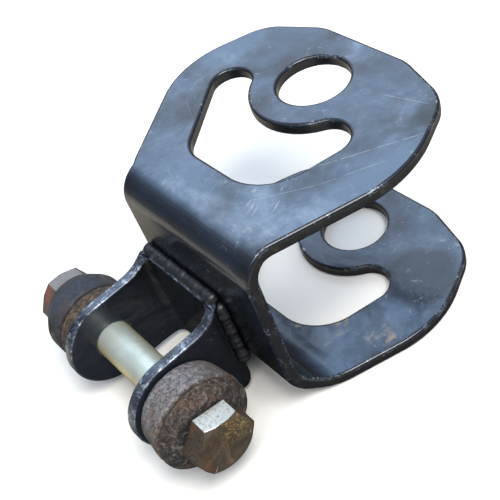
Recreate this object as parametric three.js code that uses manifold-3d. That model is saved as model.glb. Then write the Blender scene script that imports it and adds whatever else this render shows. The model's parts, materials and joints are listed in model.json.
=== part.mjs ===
// Clamp bracket: a steel plate bent to a U jaw, with a welded U strap clevis on its web.
// A long hex bolt runs across the clevis, with a ring and a cone collar outside each ear.
// Sizes in mm. X runs from the clevis to the jaw's mouth, Y along the bolt, Z up.
// The origin lies on the lower cheek's underside, on the strip between window and hole.
import * as THREE from 'three';
import { mergeVertices } from 'three/addons/utils/BufferGeometryUtils.js';
import Module from 'manifold-3d';

const wasm = await Module();
wasm.setup();

// jaw: the plate, its two bends and the space between the cheeks
const plate = 5.3;
const jawHeight = 87;
const topBend = 13.5;
const lowBend = 26;
const webNear = -51;
const webFar = 27;
const flankStart = 9.5;

// cheek outline in plan: corners and the radius each is rounded to
const cheekCorners = [
  { x: 64, y: -67.5, r: 50 },
  { x: 98.5, y: -51, r: 20 },
  { x: 107.5, y: -24, r: 24 },
  { x: 107.5, y: 22, r: 22 },
  { x: 96, y: 46.5, r: 20 },
  { x: 58.7, y: 61.1, r: 38 },
];

// round hole, the ring of plate round it, and the window's two ends and two back corners
const holeX = 81;
const holeRadius = 14.6;
const ringWidth = 11.7;
const windowStart = 26.8;
const nearLobe = { x: 60, y: -28.8 };
const farLobe = { x: 62.5, y: 29.5 };
const nearCorner = { y: -13.3, r: 22.2 };
const farCorner = { y: 6, r: 14 };

// clevis strap: thickness, width across the ears, its bends, and the ears' side view
const strap = 4.7;
const earSpan = 51.8;
const strapBend = 8;
const boltX = -33;
const boltZ = 24.2;
const earRadius = 20.6;
const rootTop = 50.5;
const rootLow = 2;
const rootFillet = 13;

// bolt, nut and collars
const boltRadius = 8;
const acrossFlats = 24;
const headHeight = 9;
const nutHeight = 8.5;
const headTurn = 0.33;
const nutTurn = 0.69;
const rimRound = 1.6;

// each side's collars: the ring's length and its radius at each end, the cone's rim and slope
const nearCollar = {
  ring: 13.9,
  inner: 18.8,
  outer: 20.3,
  rim: 1.6,
  slope: 4.2,
  end: 15.4,
};
const farCollar = {
  ring: 8.2,
  inner: 17.2,
  outer: 18.7,
  rim: 9.4,
  slope: 8,
  end: 14.2,
};

// weld beads: half width, half length of one ripple, and the step between ripples
const beadRadius = 3.2;
const rippleLength = 2.8;
const rippleStep = 2.9;
const beadEnd = 5;

// gap between pieces that touch, running clearance round the bolt, facets of a full turn
const gap = 0.3;
const running = 0.1;
const facets = 64;

const paint = { color: 0x1b2026, roughness: 0.3, metalness: 0.25 };
const painted = { color: 0x23272c, roughness: 0.42, metalness: 0.3 };
const zinc = { color: 0xb9c2b4, roughness: 0.35, metalness: 0.85 };
const dull = { color: 0x8d8b80, roughness: 0.5, metalness: 0.7 };
const worn = { color: 0x77716f, roughness: 0.75, metalness: 0.45 };
const rust = { color: 0x5d4536, roughness: 0.85, metalness: 0.35 };

const margin = 5;
const reach = 100;
const earOut = earSpan / 2;
const ringRadius = holeRadius + ringWidth;
const ringStart = earOut + gap;
const bore = boltRadius + running;
const seatX = holeX - holeRadius - ringWidth / 2;

// ---- making solids and meshes ----

function solid(geometry) {
  geometry.deleteAttribute('normal');
  geometry.deleteAttribute('uv');
  const merged = mergeVertices(geometry, 1e-5);
  return new wasm.Manifold(new wasm.Mesh({
    numProp: 3,
    vertProperties: new Float32Array(merged.attributes.position.array),
    triVerts: new Uint32Array(merged.index.array),
  }));
}

function piece(name, body, finish) {
  const data = body.getMesh();
  const shared = new THREE.BufferGeometry();
  shared.setAttribute('position', new THREE.BufferAttribute(new Float32Array(data.vertProperties), 3));
  shared.setIndex(new THREE.BufferAttribute(new Uint32Array(data.triVerts), 1));
  const geometry = shared.toNonIndexed();
  geometry.computeVertexNormals();
  const mesh = new THREE.Mesh(geometry, new THREE.MeshStandardMaterial(finish));
  mesh.name = name;
  return mesh;
}

// a prism that stands on the XY plane, from low to high in Z
function upright(shape, low, high) {
  const geometry = new THREE.ExtrudeGeometry(shape, {
    depth: high - low,
    bevelEnabled: false,
    curveSegments: facets / 2,
  });
  geometry.translate(0, 0, low);
  return solid(geometry);
}

// a prism of an XZ shape, from near to far in Y
function across(shape, near, far) {
  const geometry = new THREE.ExtrudeGeometry(shape, {
    depth: far - near,
    bevelEnabled: false,
    curveSegments: facets / 2,
  });
  geometry.rotateX(Math.PI / 2);
  geometry.translate(0, far, 0);
  return solid(geometry);
}

// an upright drum through both cheeks
function post(x, y, radius) {
  const geometry = new THREE.CylinderGeometry(radius, radius, jawHeight + 4 * margin, facets);
  geometry.rotateX(Math.PI / 2);
  geometry.translate(x, y, jawHeight / 2);
  return solid(geometry);
}

// a solid turned about Y from its half section, given from near to far along the outside
function turned(points) {
  return solid(new THREE.LatheGeometry(points.map(([r, y]) => new THREE.Vector2(r, y)), facets));
}

// outline of a polygon, given anticlockwise, with each corner rounded to its radius
function roundedOutline(corners) {
  const shape = new THREE.Shape();
  corners.forEach((corner, i) => {
    const before = corners[(i + corners.length - 1) % corners.length];
    const after = corners[(i + 1) % corners.length];
    const here = new THREE.Vector2(corner.x, corner.y);
    const back = new THREE.Vector2(before.x, before.y).sub(here).normalize();
    const ahead = new THREE.Vector2(after.x, after.y).sub(here).normalize();
    const half = Math.acos(back.dot(ahead)) / 2;
    const radius = corner.r || 0;
    const start = here.clone().addScaledVector(back, radius / Math.tan(half));
    const middle = back.clone().add(ahead).normalize();
    const centre = here.clone().addScaledVector(middle, radius / Math.sin(half));
    const swing = Math.PI / 2 - half;
    const facing = Math.atan2(-middle.y, -middle.x);
    if (i === 0) {
      shape.moveTo(start.x, start.y);
    } else {
      shape.lineTo(start.x, start.y);
    }
    if (radius > 0) {
      shape.absarc(centre.x, centre.y, radius, facing - swing, facing + swing, false);
    }
  });
  shape.closePath();
  return shape;
}

// outline of a belt pulled tight round discs given anticlockwise
function beltOutline(discs) {
  const shape = new THREE.Shape();
  const heading = discs.map((a, i) => {
    const b = discs[(i + 1) % discs.length];
    const span = Math.hypot(b.x - a.x, b.y - a.y);
    return Math.atan2(b.y - a.y, b.x - a.x) - Math.acos((a.r - b.r) / span);
  });
  discs.forEach((disc, i) => {
    const from = heading[(i + discs.length - 1) % discs.length];
    shape.absarc(disc.x, disc.y, disc.r, from, heading[i], false);
  });
  shape.closePath();
  return shape;
}

// ---- jaw ----

// boundary of the bent plate in XZ at a depth inside its outer face, open past the mouth
function bentShape(inset) {
  const mouth = 2 * reach;
  const topZ = jawHeight - topBend;
  const shape = new THREE.Shape();
  shape.moveTo(mouth, inset);
  shape.lineTo(lowBend, inset);
  shape.absarc(lowBend, lowBend, lowBend - inset, -Math.PI / 2, -Math.PI, true);
  shape.lineTo(inset, topZ);
  shape.absarc(topBend, topZ, topBend - inset, Math.PI, Math.PI / 2, true);
  shape.lineTo(mouth, jawHeight - inset);
  shape.closePath();
  return shape;
}

function bentBlock(inset) {
  return across(bentShape(inset), -reach, reach);
}

// what the window loses between a lobe and the ring, so that the two arcs run into each other
function lobeTrim(lobe) {
  const wedge = new THREE.Shape([
    new THREE.Vector2(lobe.x, lobe.y),
    new THREE.Vector2(holeX, 0),
    new THREE.Vector2(holeX, lobe.y + Math.sign(lobe.y) * lobe.r),
  ]);
  return upright(wedge, -margin, jawHeight + margin).subtract(post(lobe.x, lobe.y, lobe.r));
}

function windowCut() {
  const lobes = [nearLobe, farLobe].map((lobe) => ({
    ...lobe,
    r: Math.hypot(holeX - lobe.x, lobe.y) - ringRadius,
  }));
  const corners = [farCorner, nearCorner].map((corner) => ({
    ...corner,
    x: windowStart + corner.r,
  }));
  const belt = upright(beltOutline([...corners, ...lobes]), -margin, jawHeight + margin);
  return lobes.reduce((cut, lobe) => cut.subtract(lobeTrim(lobe)), belt)
    .subtract(post(holeX, 0, ringRadius));
}

function jawYoke() {
  const outline = roundedOutline([
    { x: -1, y: webNear },
    { x: flankStart, y: webNear },
    ...cheekCorners,
    { x: flankStart, y: webFar },
    { x: -1, y: webFar },
  ]);
  const body = bentBlock(0)
    .subtract(across(bentShape(plate), -reach - 1, reach + 1))
    .intersect(upright(outline, -margin, jawHeight + margin))
    .subtract(post(holeX, 0, holeRadius))
    .subtract(windowCut());
  return piece('jaw_yoke', body, paint);
}

// ---- clevis ----

// side view of an ear: a round end, straight edges and a flare at the root
function earShape() {
  const top = boltZ + earRadius;
  const low = boltZ - earRadius;
  const start = -gap - strap;
  const turn = start - rootFillet / 3;
  const shape = new THREE.Shape();
  shape.moveTo(boltX, low);
  shape.lineTo(start - rootFillet, low);
  shape.quadraticCurveTo(turn, low, start, rootLow);
  shape.lineTo(margin, rootLow);
  shape.lineTo(margin, rootTop);
  shape.lineTo(start, rootTop);
  shape.quadraticCurveTo(turn, top, start - rootFillet, top);
  shape.lineTo(boltX, top);
  shape.absarc(boltX, boltZ, earRadius, Math.PI / 2, Math.PI * 1.5, false);
  return shape;
}

// plan of a U whose back lies against the web, at a distance outside the strap's outer face
function strapPlan(grow) {
  const tip = boltX - earRadius - 2 * margin;
  return roundedOutline([
    { x: tip, y: -earOut - grow },
    { x: grow - gap, y: -earOut - grow, r: strapBend + grow },
    { x: grow - gap, y: earOut + grow, r: strapBend + grow },
    { x: tip, y: earOut + grow },
  ]);
}

function strapBlock(grow) {
  const spare = margin - grow;
  return upright(strapPlan(grow), rootLow - spare, rootTop + spare);
}

function boltDrum(radius) {
  const geometry = new THREE.CylinderGeometry(radius, radius, earSpan + 2 * margin, facets);
  geometry.translate(boltX, 0, boltZ);
  return solid(geometry);
}

function clevisStrap() {
  const body = strapBlock(0)
    .subtract(strapBlock(-strap))
    .intersect(across(earShape(), -earOut - 1, earOut + 1))
    .subtract(boltDrum(bore));
  return piece('clevis_strap', body, paint);
}

// ---- weld beads ----

// a row of overlapping ripples along a straight line from one point to another
function ripples(from, to, radius) {
  const start = new THREE.Vector3(...from);
  const line = new THREE.Vector3(...to).sub(start);
  const count = Math.round(line.length() / rippleStep);
  const turn = new THREE.Quaternion().setFromUnitVectors(
    new THREE.Vector3(0, 1, 0),
    line.clone().normalize(),
  );
  const lumps = [];
  for (let i = 0; i <= count; i += 1) {
    const size = radius * (1 + 0.12 * Math.sin(i * 2.3));
    const place = start.clone().addScaledVector(line, i / count);
    const lump = new THREE.SphereGeometry(1, 14, 10);
    lump.scale(size, rippleLength, size);
    lump.applyQuaternion(turn);
    lump.translate(place.x, place.y, place.z);
    lumps.push(solid(lump));
  }
  return lumps.reduce((all, lump) => all.add(lump));
}

// along the strap's top edge
function topBead() {
  const height = rootTop + beadRadius * 0.15;
  const below = across(new THREE.Shape([
    new THREE.Vector2(-reach, 0),
    new THREE.Vector2(reach, 0),
    new THREE.Vector2(reach, rootTop + gap),
    new THREE.Vector2(-reach, rootTop + gap),
  ]), -reach, reach);
  const half = earOut - beadEnd;
  const row = ripples([-beadRadius / 2, -half, height], [-beadRadius / 2, half, height], beadRadius);
  return piece('weld_top', row.subtract(below).subtract(bentBlock(-gap)), painted);
}

// in the groove between the web and one rounded corner of the strap
function sideBead(name, side) {
  const y = side * (earOut - 1.5);
  const low = lowBend / 2 + beadEnd;
  const row = ripples([-beadRadius / 2, y, low], [-beadRadius / 2, y, rootTop - rippleLength], beadRadius);
  return piece(name, row.subtract(strapBlock(gap)).subtract(bentBlock(-gap)), painted);
}

// under the strap, where the web curves away behind it
function lowBead() {
  const half = earOut - strapBend;
  const radius = beadRadius * 0.8;
  const height = lowBend / 2 - 1;
  const row = ripples([radius / 2, -half, height], [radius / 2, half, height], radius);
  return piece('weld_low', row.subtract(strapBlock(gap)).subtract(bentBlock(-gap)), painted);
}

// ---- bolt, nut and collars, made round the Y axis and set on the bolt's line ----

// a hexagon with its far end chamfered
function hexPrism(height, turn) {
  const corner = acrossFlats / Math.sqrt(3);
  const hex = new THREE.CylinderGeometry(corner, corner, height, 6);
  hex.rotateY(turn);
  hex.translate(0, height / 2, 0);
  const dome = turned([
    [0, 0],
    [corner, 0],
    [corner, height - (corner - acrossFlats / 2) * 0.75],
    [acrossFlats / 2 - 0.3, height],
    [0, height],
  ]);
  return solid(hex).intersect(dome);
}

// where a side's cone starts, and where its hexagon is seated
function coneStart(collar) {
  return ringStart + collar.ring + gap;
}

function hexSeat(collar) {
  return coneStart(collar) + collar.rim + collar.slope + gap;
}

function pivotBolt() {
  const under = hexSeat(nearCollar);
  const tip = hexSeat(farCollar) + nutHeight + gap;
  const shank = new THREE.CylinderGeometry(boltRadius, boltRadius, under + tip - 1, facets);
  shank.translate(0, (under - tip + 1) / 2, 0);
  const end = new THREE.CylinderGeometry(boltRadius, boltRadius - 1, 1, facets);
  end.translate(0, 0.5 - tip, 0);
  const head = hexPrism(headHeight, headTurn).translate([0, under, 0]);
  const mesh = piece('pivot_bolt', solid(shank).add(solid(end)).add(head), zinc);
  mesh.rotation.z = Math.PI;
  return mesh;
}

function hexNut() {
  const hole = new THREE.CylinderGeometry(bore, bore, nutHeight * 3, facets);
  const mesh = piece('hex_nut', hexPrism(nutHeight, nutTurn).subtract(solid(hole)), dull);
  mesh.position.y = hexSeat(farCollar);
  return mesh;
}

// ear-side ring: a band that flares towards the cone, with rounded rims
function ringCollar(name, collar) {
  const end = ringStart + collar.ring;
  return piece(name, turned([
    [bore, ringStart],
    [collar.inner - rimRound, ringStart],
    [collar.inner - rimRound * 0.3, ringStart + rimRound * 0.3],
    [collar.inner, ringStart + rimRound],
    [collar.outer, end - rimRound],
    [collar.outer - rimRound * 0.25, end - rimRound * 0.3],
    [collar.outer - rimRound * 0.9, end],
    [bore, end],
    [bore, ringStart],
  ]), worn);
}

// hex-side collar: a rim, then a cone down to the hex
function coneCollar(name, collar) {
  const start = coneStart(collar);
  const rim = start + collar.rim;
  const end = rim + collar.slope;
  return piece(name, turned([
    [bore, start],
    [collar.outer - rimRound * 0.9, start],
    [collar.outer - rimRound * 0.2, start + rimRound * 0.4],
    [collar.outer - rimRound * 0.1, rim],
    [collar.end + rimRound / 2, end - rimRound / 2],
    [collar.end - rimRound / 2, end],
    [bore, end],
    [bore, start],
  ]), rust);
}

function boltStack() {
  const stack = new THREE.Group();
  const near = new THREE.Group();
  near.rotation.z = Math.PI;
  near.add(ringCollar('near_ring', nearCollar), coneCollar('near_cone', nearCollar));
  stack.add(
    pivotBolt(),
    near,
    ringCollar('far_ring', farCollar),
    coneCollar('far_cone', farCollar),
    hexNut(),
  );
  stack.position.set(boltX, 0, boltZ);
  return stack;
}

const part = new THREE.Group();
part.name = 'clamp_bracket';
part.add(
  jawYoke(),
  clevisStrap(),
  topBead(),
  sideBead('weld_near', -1),
  sideBead('weld_far', 1),
  lowBead(),
  boltStack(),
);
part.position.x = -seatX;

export default part;
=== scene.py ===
import json
import math
import bpy
from mathutils import Euler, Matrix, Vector

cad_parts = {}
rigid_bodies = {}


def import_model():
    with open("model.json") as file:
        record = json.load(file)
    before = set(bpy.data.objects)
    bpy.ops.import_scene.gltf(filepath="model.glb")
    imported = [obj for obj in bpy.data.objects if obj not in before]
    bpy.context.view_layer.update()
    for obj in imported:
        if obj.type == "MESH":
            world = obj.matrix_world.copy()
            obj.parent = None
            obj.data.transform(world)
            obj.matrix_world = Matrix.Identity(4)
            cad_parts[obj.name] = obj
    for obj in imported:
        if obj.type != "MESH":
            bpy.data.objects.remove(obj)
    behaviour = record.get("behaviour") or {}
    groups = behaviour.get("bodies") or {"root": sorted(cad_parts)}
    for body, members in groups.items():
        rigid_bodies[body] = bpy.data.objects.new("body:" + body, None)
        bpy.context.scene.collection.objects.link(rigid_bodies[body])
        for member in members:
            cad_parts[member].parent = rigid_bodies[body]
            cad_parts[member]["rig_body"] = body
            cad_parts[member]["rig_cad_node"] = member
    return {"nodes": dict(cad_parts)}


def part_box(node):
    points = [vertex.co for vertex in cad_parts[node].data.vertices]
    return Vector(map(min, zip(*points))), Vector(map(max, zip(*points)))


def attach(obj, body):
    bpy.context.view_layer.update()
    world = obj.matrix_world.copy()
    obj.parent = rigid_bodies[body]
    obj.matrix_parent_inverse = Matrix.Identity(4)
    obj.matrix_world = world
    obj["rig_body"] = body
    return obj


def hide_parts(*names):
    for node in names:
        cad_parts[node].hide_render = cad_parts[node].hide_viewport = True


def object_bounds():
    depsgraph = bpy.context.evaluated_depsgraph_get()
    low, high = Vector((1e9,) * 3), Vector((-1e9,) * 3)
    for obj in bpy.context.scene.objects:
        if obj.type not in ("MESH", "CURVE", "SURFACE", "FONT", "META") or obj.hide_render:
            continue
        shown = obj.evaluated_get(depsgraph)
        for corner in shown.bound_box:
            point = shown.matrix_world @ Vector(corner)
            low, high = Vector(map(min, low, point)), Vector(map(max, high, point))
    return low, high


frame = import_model()
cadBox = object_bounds()
print("frame loaded")

mm = 0.001
coatRough = 0.08
scratchFine = 1900
edgeAngle = 32  # edges sharper than this many degrees are rounded


def setStops(ramp, stops):
    # a new ramp has two stops: they become the outer ones, and the rest go between
    for element, (at, color) in zip(ramp.elements, (stops[0], stops[-1])):
        element.position = at
        element.color = (*color, 1)
    for at, color in stops[1:-1]:
        ramp.elements.new(at).color = (*color, 1)


def fillSockets(node, values):
    # each socket gets its value, or a link
    for key, value in values.items():
        if isinstance(value, Field):
            value = value.socket
        if isinstance(value, bpy.types.NodeSocket):
            node.id_data.links.new(value, node.inputs[key])
        else:
            node.inputs[key].default_value = value


def addNode(tree, kind, settings=None, values=None):
    # the settings come first, then the sockets
    made = tree.nodes.new(kind)
    for key, value in (settings or {}).items():
        if key == "stops":
            setStops(made.color_ramp, value)
        else:
            setattr(made, key, value)
    fillSockets(made, values or {})
    return made


def opaque(color):
    # a colour socket as it is, three numbers with full alpha
    return color if isinstance(color, bpy.types.NodeSocket) else (*color, 1)


# shader sockets written as Python expressions
class Field:
    def __init__(self, tree, socket):
        self.tree = tree
        self.socket = socket

    def join(self, operation, first, second=None):
        values = {0: first} if second is None else {0: first, 1: second}
        made = addNode(self.tree, "ShaderNodeMath", {"operation": operation}, values)
        return Field(self.tree, made.outputs[0])

    def __add__(self, other):
        return self.join("ADD", self, other)

    def __radd__(self, other):
        return self.join("ADD", other, self)

    def __sub__(self, other):
        return self.join("SUBTRACT", self, other)

    def __rsub__(self, other):
        return self.join("SUBTRACT", other, self)

    def __mul__(self, other):
        return self.join("MULTIPLY", self, other)

    def __rmul__(self, other):
        return self.join("MULTIPLY", other, self)

    def above(self, edge, soft=0.05):
        # 0 below the edge, 1 above it, with a soft step
        return self.ramp(edge - soft, edge + soft)

    def ramp(self, low, high):
        made = addNode(self.tree, "ShaderNodeMapRange", {"interpolation_type": "SMOOTHSTEP"}, {
            "Value": self, "From Min": low, "From Max": high})
        return Field(self.tree, made.outputs["Result"])

    def most(self, other):
        return self.join("MAXIMUM", self, other)

    def size(self):
        return self.join("ABSOLUTE", self)


class Finish:
    # one material, built from fields over Object coordinates
    def __init__(self, name):
        self.material = bpy.data.materials.new(name)
        self.material.use_nodes = True
        self.tree = self.material.node_tree
        self.shader = self.tree.nodes["Principled BSDF"]
        self.place = self.node("ShaderNodeTexCoord").outputs["Object"]

    def node(self, kind, settings=None, values=None):
        return addNode(self.tree, kind, settings, values)

    def moved(self, turn=(0, 0, 0), stretch=(1, 1, 1), shift=(0, 0, 0)):
        # coordinates for a texture turned, then drawn out by these factors along its own axes
        return self.node("ShaderNodeMapping", {"vector_type": "TEXTURE"}, {
            "Vector": self.place, "Location": shift,
            "Rotation": [math.radians(a) for a in turn], "Scale": stretch}).outputs[0]

    def noise(self, scale, detail, rough, warp=0, place=None):
        made = self.node("ShaderNodeTexNoise", values={
            "Vector": place or self.place, "Scale": scale, "Detail": detail,
            "Roughness": rough, "Distortion": warp})
        return Field(self.tree, made.outputs[0])

    def axis(self, letter):
        split = self.node("ShaderNodeSeparateXYZ", values={"Vector": self.place})
        return Field(self.tree, split.outputs[letter])

    def facing(self, letter):
        # part of the surface's own direction, in the object's frame
        direction = self.node("ShaderNodeTexCoord").outputs["Normal"]
        split = self.node("ShaderNodeSeparateXYZ", values={"Vector": direction})
        return Field(self.tree, split.outputs[letter])

    def spot(self, center, inner, outer):
        # 1 inside a ball round a point given in mm, fading to 0 at its outer radius
        made = self.node("ShaderNodeVectorMath", {"operation": "DISTANCE"}, {
            0: self.place, 1: [c * mm for c in center]})
        return 1 - Field(self.tree, made.outputs["Value"]).ramp(inner * mm, outer * mm)

    def streak(self, place, turn, half, width):
        # 1 along one thin line lying in plan, from its middle point, its turn and half its length
        tilt = math.radians(turn)
        along = self.axis("X") * math.cos(tilt) + self.axis("Y") * math.sin(tilt)
        across = self.axis("Y") * math.cos(tilt) - self.axis("X") * math.sin(tilt)
        middle = (place[0] * math.cos(tilt) + place[1] * math.sin(tilt),
                  place[1] * math.cos(tilt) - place[0] * math.sin(tilt))
        away = (along - middle[0] * mm).size()
        off = (across - middle[1] * mm).size()
        inside = 1 - away.ramp(half * 0.7 * mm, half * mm)
        return inside * (1 - off.ramp(width * 0.4 * mm, width * mm)) * self.axis("Z").above(place[2] * mm, mm)

    def blend(self, mask, low, high):
        # the Mix node's colour sockets are its seventh and eighth, and its third output
        made = self.node("ShaderNodeMix", {"data_type": "RGBA"}, {
            0: mask, 6: opaque(low), 7: opaque(high)})
        return made.outputs[2]

    def scratches(self, turns, length, share, patches=40):
        # fine straight lines at a few turns in plan, broken up by patches
        lines = None
        for step, turn in enumerate(turns):
            drawn = (1, length * scratchFine * mm, 50)
            run = self.moved((0, 0, turn - 90), drawn, (step * 0.37, 0, 0))
            made = self.noise(scratchFine, 1, 0.4, place=run).above(share, 0.015)
            patch = self.noise(patches + 9 * step, 2, 0.5, place=self.moved(shift=(step * 3.1, 1, 0)))
            made = made * patch.above(0.56, 0.05)
            lines = made if lines is None else lines.most(made)
        return lines

    def done(self, color, rough, metal=0.0, height=None, strength=0.0, reach=0.0, coat=0.0):
        sockets = {"Base Color": opaque(color), "Roughness": rough, "Metallic": metal}
        if height is not None:
            bump = self.node("ShaderNodeBump", values={
                "Height": height, "Strength": strength, "Distance": reach * mm})
            sockets["Normal"] = bump.outputs[0]
        if coat:
            sockets["Coat Weight"] = coat
            sockets["Coat Roughness"] = coatRough
        fillSockets(self.shader, sockets)
        return self.material


paintLook = {
    "black": (0.0075, 0.0085, 0.010),
    "deep": (0.012, 0.017, 0.026),
    # painted sky reflection colour for the upward faces, then its painted highlight colour
    "painted_sky": (0.074, 0.114, 0.175),
    "painted_glare": (0.150, 0.205, 0.285),
    "dust": (0.30, 0.31, 0.31),
    "dirt": (0.26, 0.22, 0.165),
    "scratch": (0.50, 0.53, 0.55),
    "rough": 0.17,
    "coat": 0.1,
}


def glossPaint(name, look, dusty, hatch=None, scars=(), stains=(), painted_shading=()):
    # gloss black paint: a painted blue sky reflection where it lies flat, with painted bright reflection
    # patches and painted shade patches, dust flecks, fine scratches, dried dirt
    f = Finish(name)
    flat = f.facing("Z").above(0.90, 0.09)
    cloud = f.noise(20, 4, 0.55, 0.9)
    smudge = f.noise(62, 6, 0.68, 0.7)
    mottle = f.noise(260, 5, 0.7, 0.4)
    specks = f.noise(1100, 3, 0.7)
    sheen_and_tone = (cloud * 0.70 + smudge * 0.30).ramp(0.36, 0.63)
    # painted highlight: brighter blue patches in the painted sky reflection
    painted_glare = f.noise(30, 6, 0.62, 1.2).ramp(0.46, 0.70)
    # painted sky reflection: blue only where the paint faces up, thinner in places
    painted_sky = (0.12 + sheen_and_tone * 0.88) * (0.6 + mottle * 0.8) * flat
    # painted shade: patches where the painted sky reflection is taken away
    for patch in painted_shading:
        shade_patch = f.spot(patch["place"], 0, patch["size"]) * 1.5 + smudge * 0.8
        painted_sky = painted_sky * (1 - shade_patch.ramp(0.75, 1.35) * patch["share"])
    flecks = mottle.above(0.63, 0.03) * smudge.above(0.53, 0.05) * (0.25 + flat * 0.75) * dusty
    lines = f.scratches((-30, 64), 26, 0.75) * flat * 0.5
    if hatch:
        strokes = f.scratches(hatch["turns"], hatch["length"], hatch["share"], hatch["patches"])
        lines = lines.most(strokes * 0.8 * f.spot(hatch["place"], hatch["inner"], hatch["outer"]))
    for scar in scars:
        line = f.streak(scar["place"], scar["turn"], scar["half"], scar["width"])
        lines = lines.most(line * mottle.ramp(0.35, 0.5))
    under = f.blend(sheen_and_tone, look["black"], look["deep"])
    color = f.blend(painted_sky, under, f.blend(painted_glare, look["painted_sky"], look["painted_glare"]))
    color = f.blend(flecks * 0.55, color, look["dust"])
    for stain in stains:
        spot = f.spot(stain["place"], stain["size"] * 0.5, stain["size"] * 1.1)
        patch = (spot * 0.35 + smudge * 1.2 + mottle * 0.5).above(1.24, 0.06)
        color = f.blend(patch * 0.7, color, look["dirt"])
        flecks = flecks.most(patch * 0.8)
    color = f.blend(lines * 0.5, color, look["scratch"])
    rough = look["rough"] + painted_sky * 0.10 + flecks * 0.35 + lines * 0.2 + specks * 0.05
    height = cloud * 4.0 + smudge * 0.3 - lines * 0.1 + flecks * 0.05
    return f.done(color, rough, 0.0, height, 0.6, 0.5, look["coat"])


cutLook = {
    "black": (0.009, 0.010, 0.012),
    "brown": (0.040, 0.033, 0.026),
    "bare": (0.20, 0.19, 0.18),
}


def cutEdge(name, look):
    # the plate's cut sides: fine drag lines down the cut, painted over, with brown grime
    f = Finish(name)
    drag = f.noise(1100, 3, 0.6, place=f.moved(stretch=(1, 1, 8)))
    grime = f.noise(90, 5, 0.65, 0.5)
    chips = f.noise(420, 4, 0.7, 0.3).above(0.68, 0.03) * grime.above(0.52, 0.08)
    color = f.blend(grime.ramp(0.54, 0.76), look["black"], look["brown"])
    color = f.blend(chips, color, look["bare"])
    rough = 0.22 + grime * 0.2 + drag * 0.1
    return f.done(color, rough, chips * 0.6, drag * 0.6 + grime * 0.6, 0.3, 0.12, 0.15)


rimLook = {
    "paint": (0.010, 0.013, 0.018),
    "bare": (0.085, 0.100, 0.125),
    # painted glint colour for the bare metal
    "glint_color": (0.45, 0.50, 0.55),
}


def wornRim(name, look, share):
    # an edge rubbed through to bare metal, speckled with the paint that is left
    f = Finish(name)
    patch = f.noise(110, 5, 0.65, 0.4)
    speck = f.noise(1000, 4, 0.75)
    worn = (patch * 0.6 + speck * 0.4).above(share, 0.04)
    # painted glints: bright spots on the bare metal standing in for highlights
    painted_glint = f.noise(420, 4, 0.65, 0.6).above(0.58, 0.08) * worn
    color = f.blend(worn, look["paint"], look["bare"])
    color = f.blend(painted_glint * 0.8, color, look["glint_color"])
    rough = 0.16 + worn * 0.08 + speck * 0.10
    return f.done(color, rough, worn * 0.6, patch + speck * 0.4, 0.3, 0.1)


weldLook = {
    "black": (0.014, 0.015, 0.018),
    "grey": (0.16, 0.17, 0.19),
}


def weldPaint(name, look):
    f = Finish(name)
    patch = f.noise(150, 5, 0.65, 0.6)
    pits = f.noise(1500, 3, 0.7)
    color = f.blend(patch.above(0.68, 0.05) * 0.5, look["black"], look["grey"])
    return f.done(color, 0.24 + patch * 0.25, 0.0, patch + pits * 0.2, 0.5, 0.3, 0.1)


zincLook = {
    "pale": (0.58, 0.64, 0.57),
    "gold": (0.62, 0.49, 0.18),
    "dull": (0.34, 0.36, 0.32),
}


def shankZinc(name, look, boltLine):
    # passivated plating: pale green-grey on top, yellow towards the bottom, with turning lines
    f = Finish(name)
    height = f.axis("Z") * (1 / mm)
    gold = (height * -1 + boltLine.z / mm).ramp(-8, 1)
    cloud = f.noise(60, 4, 0.6, 0.5)
    turning = f.noise(900, 2, 0.5, place=f.moved(stretch=(50, 1, 50)))
    color = f.blend(gold * (0.65 + cloud * 0.7), look["pale"], look["gold"])
    color = f.blend(cloud.above(0.62, 0.12) * 0.4, color, look["dull"])
    return f.done(color, 0.30 + cloud * 0.14 + turning * 0.08, 0.55, turning, 0.15, 0.05)


headLook = {
    "silver": (0.58, 0.59, 0.55),
    "olive": (0.100, 0.074, 0.042),
    "brown": (0.044, 0.034, 0.024),
    "gold": (0.55, 0.38, 0.12),
    "rust": (0.150, 0.058, 0.030),
    "painted_shading": 0.8,  # how squarely a flat has to face up to be painted as lit plating rather than shaded
}


def hexFlat(name, look, rusty):
    # a wrench flat: plating with painted light on the up-facing flat, painted shade with grime and rust on
    # the others
    f = Finish(name)
    up = f.facing("Z")
    patch = f.noise(130, 5, 0.65, 0.5)
    fine = f.noise(900, 4, 0.7)
    # painted light and shade: plating where a flat faces up, brown grime colour on the flats turned away
    shade_and_grime = 1 - (up + (fine - 0.5) * 0.25).above(look["painted_shading"], 0.1)
    rust = (patch * 0.8 + fine * 0.2).above(0.53, 0.05) * shade_and_grime * rusty
    color = f.blend(shade_and_grime, look["silver"], look["brown"])
    color = f.blend(shade_and_grime * fine.above(0.55, 0.06) * 0.7, color, look["olive"])
    color = f.blend(rust, color, look["rust"])
    color = f.blend(fine.above(0.56, 0.06) * (1 - shade_and_grime) * 0.5, color, look["olive"])
    rough = 0.36 + shade_and_grime * 0.2 + rust * 0.15 + fine * 0.08
    return f.done(color, rough, 0.55 - shade_and_grime * 0.25, patch * 0.6 + fine, 0.4, 0.12)


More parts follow.
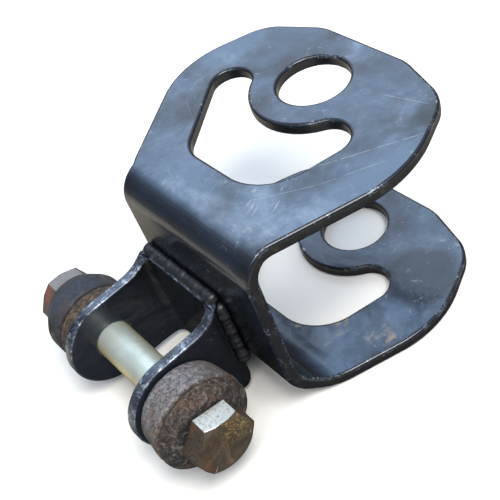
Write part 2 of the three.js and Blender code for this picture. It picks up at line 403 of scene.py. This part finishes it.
def hexEnd(name, look, center):
    # the head's end face: brown grime over plating, gold flecks, rust blooms, fine scratches
    f = Finish(name)
    patch = f.noise(110, 5, 0.65, 0.7)
    fine = f.noise(900, 5, 0.75)
    side = f.spot((center[0] + 6, center[1], center[2] + 5), 3, 9)
    flecks = f.noise(420, 4, 0.7, 2.4).above(0.575, 0.02) * (side + patch.above(0.60, 0.06) * 0.5)
    rust = f.noise(150, 4, 0.6, 0.6).above(0.60, 0.06)
    scuffs = f.noise(900, 3, 0.6, 0.4, f.moved((0, 40, 0), (1, 1, 9))).above(0.68, 0.03)
    color = f.blend((patch * 0.7 + fine * 0.3).ramp(0.36, 0.62), look["brown"], look["olive"])
    color = f.blend(rust * 0.6, color, look["rust"])
    color = f.blend(flecks * 0.8, color, look["gold"])
    color = f.blend(scuffs * 0.5, color, look["silver"])
    rough = 0.42 + fine * 0.2
    return f.done(color, rough, 0.3 + flecks * 0.3, patch + fine * 0.9, 0.55, 0.2)


collarLook = {
    # grey and slate, used as top colours, hold a painted highlight and a painted sky reflection
    "grey": (0.23, 0.22, 0.225),
    "pale": (0.38, 0.37, 0.36),
    "tan": (0.21, 0.165, 0.115),
    "brown": (0.085, 0.058, 0.040),
    "rust": (0.165, 0.080, 0.045),
    # dark, used as a bottom colour, holds painted shade as well as the pits
    "dark": (0.018, 0.016, 0.015),
    "slate": (0.040, 0.048, 0.064),
}


def collarSteel(name, look, top, bottom, rusty, speckle, pitted):
    # pitted steel: painted light on top, painted shade mixed with caked dirt below, with rust blooms and dark
    # pits
    f = Finish(name)
    up = f.facing("Z")
    patch = f.noise(85, 6, 0.68, 0.6)
    grit = f.noise(560, 6, 0.82, 0.3)
    fine = f.noise(1500, 4, 0.8)
    # painted light and shade: lighter where the face points up, darker where it points down, broken by dirt
    # patches
    low = (patch * 1.3 - up * 0.40 + grit * 0.5).ramp(0.42, 0.92)
    color = f.blend(low, look[top], look[bottom])
    color = f.blend((grit * 0.6 + fine * 0.4).above(0.56, 0.04) * speckle, color, look["pale"])
    tan = f.noise(210, 5, 0.75, 0.5, f.moved(shift=(0.3, 0.1, 0.2))).above(0.58, 0.04)
    color = f.blend(tan * low * 0.7, color, look["tan"])
    rust = f.noise(130, 5, 0.7, 0.8).above(0.56, 0.05) * rusty
    color = f.blend(rust, color, look["rust"])
    dark = (1 - (grit * 0.5 + fine * 0.5).above(0.455, 0.035)) * pitted
    color = f.blend(dark * 0.85, color, look["dark"])
    rough = 0.5 + low * 0.22 + grit * 0.1
    height = grit + patch * 0.6 - dark * 0.7 + fine * 0.2
    return f.done(color, rough, 0.2 - low * 0.15, height, 0.85, 0.45)


def pieceOf(node, name, cuts=((0, 1, 0),), near=0.002, straight=0.6, middle=None):
    # an own copy of a CAD solid: near points joined and straight facets merged,
    # with seams through its middle so that no face has a hole in it
    bpy.ops.object.select_all(action="DESELECT")
    source = frame["nodes"][node]
    source.select_set(True)
    bpy.context.view_layer.objects.active = source
    bpy.ops.object.duplicate()
    piece = bpy.context.view_layer.objects.active
    bpy.ops.object.parent_clear(type="CLEAR_KEEP_TRANSFORM")
    piece.name = name
    piece.data.name = name
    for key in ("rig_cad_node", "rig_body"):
        if key in piece:
            del piece[key]
    piece.data.materials.clear()
    bpy.ops.object.mode_set(mode="EDIT")
    bpy.ops.mesh.select_all(action="SELECT")
    bpy.ops.mesh.remove_doubles(threshold=near * mm)
    if middle is None:
        low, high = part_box(node)
        middle = (low + high) / 2
    for cut in cuts:
        bpy.ops.mesh.select_all(action="SELECT")
        bpy.ops.mesh.bisect(plane_co=middle, plane_no=cut)
        bpy.ops.mesh.mark_seam()
    bpy.ops.mesh.select_all(action="SELECT")
    bpy.ops.mesh.dissolve_limited(angle_limit=math.radians(straight), delimit={"SEAM"})
    bpy.ops.mesh.customdata_custom_splitnormals_clear()
    bpy.ops.object.mode_set(mode="OBJECT")
    return piece


def apply(piece, kind, settings):
    bpy.context.view_layer.objects.active = piece
    modifier = piece.modifiers.new(kind.title(), kind)
    for key, value in settings.items():
        setattr(modifier, key, value)
    bpy.ops.object.modifier_apply(modifier=modifier.name)


def roundEdges(piece, width, slot=-1, segments=3):
    apply(piece, "BEVEL", {
        "width": width * mm, "segments": segments, "limit_method": "ANGLE",
        "angle_limit": math.radians(edgeAngle), "material": slot, "harden_normals": False,
        "use_clamp_overlap": False, "miter_outer": "MITER_ARC"})


def paintFaces(piece, slot, test):
    for face in piece.data.polygons:
        if test(face.center, face.normal):
            face.material_index = slot


def smooth(piece, angle=35):
    bpy.ops.object.select_all(action="DESELECT")
    piece.select_set(True)
    bpy.context.view_layer.objects.active = piece
    bpy.ops.object.shade_smooth_by_angle(angle=math.radians(angle))
    apply(piece, "WEIGHTED_NORMAL", {"keep_sharp": True, "weight": 70})


def settle(piece, node, body):
    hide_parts(node)
    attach(piece, body)


jaw = {
    "joinNear": 0.1,
    "mergeAngle": 4,
    "seamAt": (0, 0, 0),
    "edgeRound": 1.35,
    "edgeSegments": 5,
    "cheekDepth": 5.4,  # just over the plate's thickness
    "webDepth": 9,  # these two are measured from the web's outer face
    "bendDepth": 30,
    "dusty": 0.9,
    "rimShare": 0.57,
    "hatch": {
        "turns": (9, 23), "length": 8, "share": 0.68, "patches": 170,
        "place": (-33, -35, 86), "inner": 8, "outer": 19,
    },
    "scars": (
        {"place": (4, -48, 80), "turn": -32, "half": 21, "width": 0.17},
        {"place": (-7, -51, 80), "turn": -28, "half": 13, "width": 0.13},
        {"place": (-30, -36, 80), "turn": -38, "half": 17, "width": 0.12},
        {"place": (30, -40, 80), "turn": -75, "half": 10, "width": 0.14},
    ),
    "stains": (
        {"place": (-38, -22, 5.3), "size": 8},
        {"place": (-24, -35, 5.3), "size": 9},
        {"place": (-17, -54, 5.3), "size": 9},
    ),
    # painted shade: the upper cheek's shadow on the lower cheek, and darker reflections on the upper cheek
    "painted_shading": (
        {"place": (16, -44, 5.3), "size": 30, "share": 0.85},
        {"place": (30, -54, 87), "size": 13, "share": 0.7},
        {"place": (-22, 36, 87), "size": 20, "share": 0.45},
    ),
}


def makeJaw():
    piece = pieceOf("jaw_yoke", "jaw", near=jaw["joinNear"], straight=jaw["mergeAngle"],
                    middle=jaw["seamAt"])
    low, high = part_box("jaw_yoke")
    for finish in (
        glossPaint("jawPaint", paintLook, jaw["dusty"], jaw["hatch"], jaw["scars"],
                   jaw["stains"], jaw["painted_shading"]),
        cutEdge("jawCutEdge", cutLook),
        wornRim("jawWornRim", rimLook, jaw["rimShare"]),
    ):
        piece.data.materials.append(finish)
    # cut sides stand square to the bent section: they face along Y on the web, in plan on the cheeks
    cheekZ = (low.z + jaw["cheekDepth"] * mm, high.z - jaw["cheekDepth"] * mm)
    webX = low.x + jaw["webDepth"] * mm
    bendX = low.x + jaw["bendDepth"] * mm

    def isCut(place, normal):
        onCheek = place.z < cheekZ[0] or place.z > cheekZ[1]
        if abs(normal.y) > 0.97 and not onCheek:
            return True
        return onCheek and abs(normal.z) < 0.05 and place.x > webX

    def isBendSide(place, normal):
        return abs(normal.y) > 0.9 and abs(normal.z) < 0.05 and place.x < bendX

    paintFaces(piece, 1, lambda place, normal: isCut(place, normal) or isBendSide(place, normal))
    roundEdges(piece, jaw["edgeRound"], 2, segments=jaw["edgeSegments"])
    smooth(piece)
    settle(piece, "jaw_yoke", "frame")
    print("jaw made")


makeJaw()


clevis = {
    "cuts": ((0, 1, 0), (0, 0, 1)),
    "joinNear": 0.03,
    "mergeAngle": 2,
    "edgeRound": 0.7,
    "earDepth": 4.8,  # just over the strap's thickness
    "rootDepth": 5,
    "dusty": 0.4,
    "rimShare": 0.46,
}


def makeClevis():
    piece = pieceOf("clevis_strap", "clevis", clevis["cuts"], clevis["joinNear"],
                    clevis["mergeAngle"])
    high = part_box("clevis_strap")[1]
    for finish in (
        glossPaint("clevisPaint", paintLook, clevis["dusty"]),
        wornRim("clevisWornRim", rimLook, clevis["rimShare"]),
    ):
        piece.data.materials.append(finish)
    half = high.y - clevis["earDepth"] * mm
    rootX = high.x - clevis["rootDepth"] * mm

    def isRim(place, normal):
        onEar = abs(place.y) > half
        return onEar and abs(normal.y) < 0.1 and place.x < rootX

    paintFaces(piece, 1, isRim)
    roundEdges(piece, clevis["edgeRound"], 1)
    smooth(piece)
    settle(piece, "clevis_strap", "frame")
    print("clevis made")


makeClevis()


weld = {
    "sides": ("top", "near", "far", "low"),
    "grain": 0.32,
    "smoothing": 26,
}


def makeWelds():
    finish = weldPaint("weldPaint", weldLook)
    for side in weld["sides"]:
        piece = pieceOf("weld_" + side, "bead_" + side)
        piece.data.materials.append(finish)
        apply(piece, "REMESH", {"mode": "VOXEL", "voxel_size": weld["grain"] * mm})
        apply(piece, "SMOOTH", {"factor": 0.5, "iterations": weld["smoothing"]})
        smooth(piece, 60)
        settle(piece, "weld_" + side, "frame")
    print("weld beads made")


makeWelds()


bolt = {
    "edgeRound": 0.45,
    "headLength": 9,
    "slack": 0.2,
    "endDepth": 1,
    "rusty": 0.45,
    "nutRusty": 0.9,
}
nutLook = dict(headLook, silver=(0.22, 0.205, 0.19), brown=(0.10, 0.088, 0.076),
               rust=(0.22, 0.085, 0.05))


def makeBolt():
    low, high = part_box("pivot_bolt")
    line = (low + high) / 2
    head = low.y + bolt["headLength"] * mm
    slack = bolt["slack"] * mm
    endDepth = bolt["endDepth"] * mm
    piece = pieceOf("pivot_bolt", "pivotBolt")
    for finish in (
        shankZinc("shankZinc", zincLook, line),
        hexFlat("headFlats", headLook, bolt["rusty"]),
        hexEnd("headEnd", headLook, (line.x / mm, low.y / mm, line.z / mm)),
    ):
        piece.data.materials.append(finish)
    paintFaces(piece, 1, lambda place, normal: place.y < head + slack)
    paintFaces(piece, 2, lambda place, normal: place.y < head - endDepth and normal.y < -0.3)
    paintFaces(piece, 2, lambda place, normal: normal.y > 0.9 and place.y > high.y - endDepth)
    roundEdges(piece, bolt["edgeRound"])
    smooth(piece)
    settle(piece, "pivot_bolt", "bolt")

    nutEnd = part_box("hex_nut")[1].y
    nut = pieceOf("hex_nut", "hexNut", ((0, 0, 1),))
    nut.data.materials.append(hexFlat("nutFlats", nutLook, bolt["nutRusty"]))
    nut.data.materials.append(hexEnd("nutEnd", headLook, (line.x / mm, nutEnd / mm, line.z / mm)))
    paintFaces(nut, 1, lambda place, normal: normal.y > 0.3)
    roundEdges(nut, bolt["edgeRound"])
    smooth(nut)
    settle(nut, "hex_nut", "nut")
    print("bolt and nut made")


makeBolt()


collarShape = {
    "edgeRound": 0.4,
    "grain": 0.45,
    "smoothing": 2,
    "pitSize": 1.6,
    "pitDepth": 3,  # octaves of the pitting's noise
}
# each collar's top colour is painted light, its bottom colour painted shade with dirt
collars = {
    "near_ring": {
        "name": "nearRing", "top": "grey", "bottom": "brown",
        "rusty": 0.35, "speckle": 0.5, "pitted": 0.9, "rough": 0.32,
    },
    "near_cone": {
        "name": "nearCone", "top": "brown", "bottom": "dark",
        "rusty": 0.45, "speckle": 0.35, "pitted": 1.0, "rough": 0.35,
    },
    "far_ring": {
        "name": "farRing", "top": "brown", "bottom": "dark",
        "rusty": 0.8, "speckle": 0.2, "pitted": 0.8, "rough": 0.5,
    },
    "far_cone": {
        "name": "farCone", "top": "slate", "bottom": "dark",
        "rusty": 0.15, "speckle": 0.05, "pitted": 0.4, "rough": 0.12,
    },
}


def makeCollars():
    grain = bpy.data.textures.new("collarGrain", "CLOUDS")
    grain.noise_scale = collarShape["pitSize"] * mm
    grain.noise_depth = collarShape["pitDepth"]
    for node, look in collars.items():
        piece = pieceOf(node, look["name"], ((0, 0, 1),))
        finish = collarSteel(look["name"] + "Steel", collarLook, look["top"], look["bottom"],
                             look["rusty"], look["speckle"], look["pitted"])
        piece.data.materials.append(finish)
        roundEdges(piece, collarShape["edgeRound"], segments=2)
        bpy.ops.object.mode_set(mode="EDIT")
        bpy.ops.mesh.select_all(action="SELECT")
        bpy.ops.mesh.quads_convert_to_tris()
        bpy.ops.object.mode_set(mode="OBJECT")
        apply(piece, "REMESH", {"mode": "VOXEL", "voxel_size": collarShape["grain"] * mm})
        apply(piece, "SMOOTH", {"factor": 0.5, "iterations": collarShape["smoothing"]})
        apply(piece, "DISPLACE", {
            "texture": grain, "strength": look["rough"] * mm, "mid_level": 1.0})
        smooth(piece, 70)
        settle(piece, node, node)
    print("collars made")


makeCollars()


studio = {
    "floor": (0.93, 0.90, 0.83),
    "floorSize": 6,
    "floorDrop": 0.2,
    "cameraPlace": (-140.0, -245.3, 297.6),
    "cameraTurn": (42.77, 16.19, -39.83),
    "lens": 66.3,
    "shift": (0.0106, 0.0233),
    "sky": (
        (0.14, (0.02, 0.02, 0.02)),
        (0.22, (0.90, 0.82, 0.68)),
        (0.32, (1.00, 0.93, 0.80)),
        (0.42, (0.22, 0.21, 0.20)),
        (0.60, (0.10, 0.13, 0.19)),
        (0.84, (0.55, 0.68, 0.92)),
        (1.0, (0.66, 0.80, 1.0)),
    ),
    "skyStrength": 0.9,
    "panels": (
        {"name": "skyPanel", "place": (0.42, 1.0, 1.05), "aim": (0, 0, 0.04),
         "size": (1.5, 0.9), "power": 7, "color": (0.70, 0.84, 1.0)},
        {"name": "keyPanel", "place": (-0.7, -0.5, 1.1), "aim": (0, 0, 0.03),
         "size": (0.5, 0.5), "power": 5, "color": (1.0, 0.95, 0.88)},
        {"name": "topPanel", "place": (0.03, -0.55, 1.15), "aim": (0, 0, 0.05),
         "size": (0.6, 0.6), "power": 16, "color": (1.0, 0.98, 0.95)},
    ),
}


def makeFloor():
    bpy.ops.object.select_all(action="DESELECT")
    level = cadBox[0][2] - studio["floorDrop"] * mm
    bpy.ops.mesh.primitive_plane_add(size=studio["floorSize"], location=(0, 0, level))
    floor = bpy.context.object
    floor.name = "floor"
    f = Finish("floorCard")
    tone = f.noise(3, 2, 0.5)
    color = f.blend(tone, studio["floor"], [c * 0.97 for c in studio["floor"]])
    floor.data.materials.append(f.done(color, 0.9))
    floor.visible_glossy = False


def makeSky():
    world = bpy.data.worlds.new("studioSky")
    bpy.context.scene.world = world
    world.use_nodes = True
    tree = world.node_tree
    place = addNode(tree, "ShaderNodeTexCoord").outputs["Generated"]
    height = addNode(tree, "ShaderNodeSeparateXYZ", values={"Vector": place}).outputs["Z"]
    share = addNode(tree, "ShaderNodeMapRange", values={"Value": height, "From Min": -1})
    ramp = addNode(tree, "ShaderNodeValToRGB", {"stops": studio["sky"]}, {
        "Fac": share.outputs["Result"]})
    fillSockets(tree.nodes["Background"], {
        "Color": ramp.outputs["Color"], "Strength": studio["skyStrength"]})


def addPanel(panel):
    bpy.ops.object.light_add(type="AREA", location=panel["place"])
    lamp = bpy.context.object
    lamp.name = panel["name"]
    lamp.data.shape = "RECTANGLE"
    lamp.data.size, lamp.data.size_y = panel["size"]
    lamp.data.energy = panel["power"]
    lamp.data.color = panel["color"]
    way = Vector(panel["aim"]) - Vector(panel["place"])
    lamp.rotation_euler = way.to_track_quat("-Z", "Y").to_euler()


def makeCamera():
    bpy.ops.object.camera_add(location=[v * mm for v in studio["cameraPlace"]])
    camera = bpy.context.object
    camera.rotation_euler = Euler([math.radians(a) for a in studio["cameraTurn"]])
    camera.data.lens = studio["lens"]
    camera.data.shift_x, camera.data.shift_y = studio["shift"]
    camera.data.clip_start = 0.01
    bpy.context.scene.camera = camera


makeFloor()
makeSky()
for panel in studio["panels"]:
    addPanel(panel)
makeCamera()
bpy.context.scene.view_settings.view_transform = "Standard"
print("studio made")
